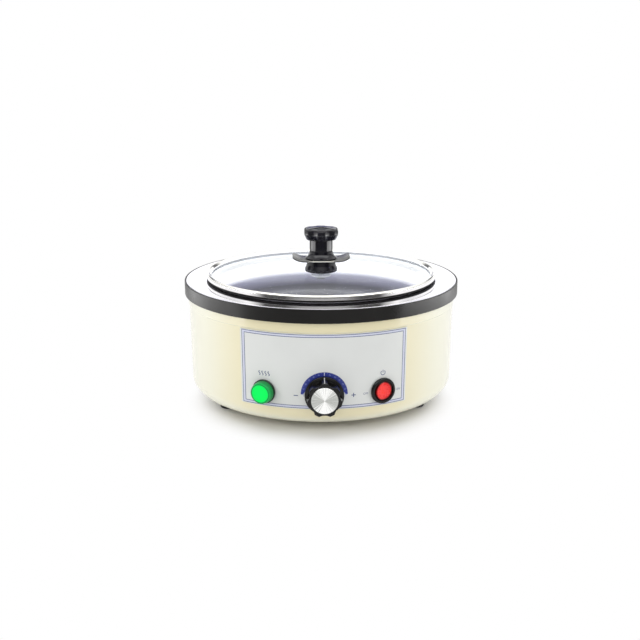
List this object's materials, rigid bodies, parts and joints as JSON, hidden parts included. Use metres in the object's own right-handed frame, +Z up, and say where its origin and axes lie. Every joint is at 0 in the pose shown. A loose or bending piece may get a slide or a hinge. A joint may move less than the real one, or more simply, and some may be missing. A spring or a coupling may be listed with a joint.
{
  "type": "tissue flotation bath",
  "caption": "Round heated water bath on feet, with a lift-off glass lid, a thermostat knob, a pilot lamp and a rocker switch.",
  "frame": {"origin": "on the bench surface, under the middle of the bath", "axes": "+Z up, -Y out of the front with the controls, +X to the right as seen from the front"},
  "size_m": [0.25, 0.2744, 0.1532],
  "materials": {
    "casing_paint": "smooth cream enamel",
    "collar_moulding": "satin dark grey moulding",
    "pan_aluminium": "spun and polished",
    "rim_steel": "polished stainless steel",
    "clear_glass": "clear tempered glass",
    "black_gloss": "glossy black moulding",
    "guard_chrome": "chromed steel",
    "plate_print": "silver-grey printed plate",
    "cap_aluminium": "spun aluminium",
    "index_white": "white inlay",
    "green_lens": "translucent green",
    "red_rocker": "translucent red",
    "foot_rubber": "moulded rubber",
    "silicone": "red-brown silicone",
    "brass": "machined brass",
    "zinc_steel": "zinc-plated steel",
    "galvanised": "galvanised sheet",
    "glass_fibre": "needled glass fibre",
    "black_nylon": "black nylon",
    "ivory_nylon": "natural nylon",
    "copper": "drawn copper",
    "neon_glass": "clear glass"
  },
  "bodies": {
    "bath": {"outer_casing": "casing_paint", "collar_band": "collar_moulding", "pan_gasket": "silicone", "bath_pan": "pan_aluminium", "pan_studs": "zinc_steel", "heater_mat": "silicone", "heater_clamp_plate": "galvanised", "clamp_nuts": "zinc_steel", "support_pillars": "zinc_steel", "insulation_pad": "glass_fibre", "thermal_cutout": "black_nylon", "cutout_strap": "zinc_steel", "strap_screws": "zinc_steel", "base_plate": "galvanised", "base_screws": "zinc_steel", "rubber_feet": "foot_rubber", "foot_screws": "zinc_steel", "foot_nuts": "zinc_steel", "faceplate": "plate_print", "thermostat_body": "ivory_nylon", "thermostat_screws": "zinc_steel", "capillary_and_phial": "copper", "phial_pocket": "galvanised", "lamp_bezel": "black_nylon", "lamp_lens": "green_lens", "lamp_nut": "black_nylon", "neon_capsule": "neon_glass", "switch_housing": "black_nylon", "spade_terminals": "brass", "gland_body": "black_nylon", "gland_seal": "foot_rubber", "gland_nut": "black_nylon", "gland_locknut": "black_nylon", "terminal_block": "ivory_nylon", "block_screws": "zinc_steel", "earth_stud": "brass", "earth_nuts": "brass"},
    "lid": {"lid_rim": "rim_steel", "lid_gasket": "silicone", "lid_glass": "clear_glass", "knob_seal": "silicone", "lid_knob_base": "black_gloss", "finger_guard": "guard_chrome", "lid_knob": "black_gloss", "knob_insert": "brass", "lid_washer": "black_nylon", "lid_screw": "zinc_steel"},
    "control_knob": {"thermostat_shaft": "zinc_steel", "control_knob": "black_gloss", "knob_index": "index_white", "knob_cap": "cap_aluminium", "knob_set_screw": "zinc_steel"},
    "power_rocker": {"switch_rocker": "red_rocker"}
  },
  "joints": [
    {"name": "lid_lift", "type": "slide", "parent": "bath", "child": "lid", "axis": [0, 0, 1], "range_m": [0, 0.12]},
    {"name": "knob_turn", "type": "hinge", "parent": "bath", "child": "control_knob", "pos_m": [0, -0.1373, 0.034], "axis": [0, -1, 0], "range_deg": [-90, 90]},
    {"name": "rocker_tilt", "type": "hinge", "parent": "bath", "child": "power_rocker", "pos_m": [0.04831, -0.11006, 0.034], "axis": [0, 0, 1], "range_deg": [-16, 0]}
  ]
}
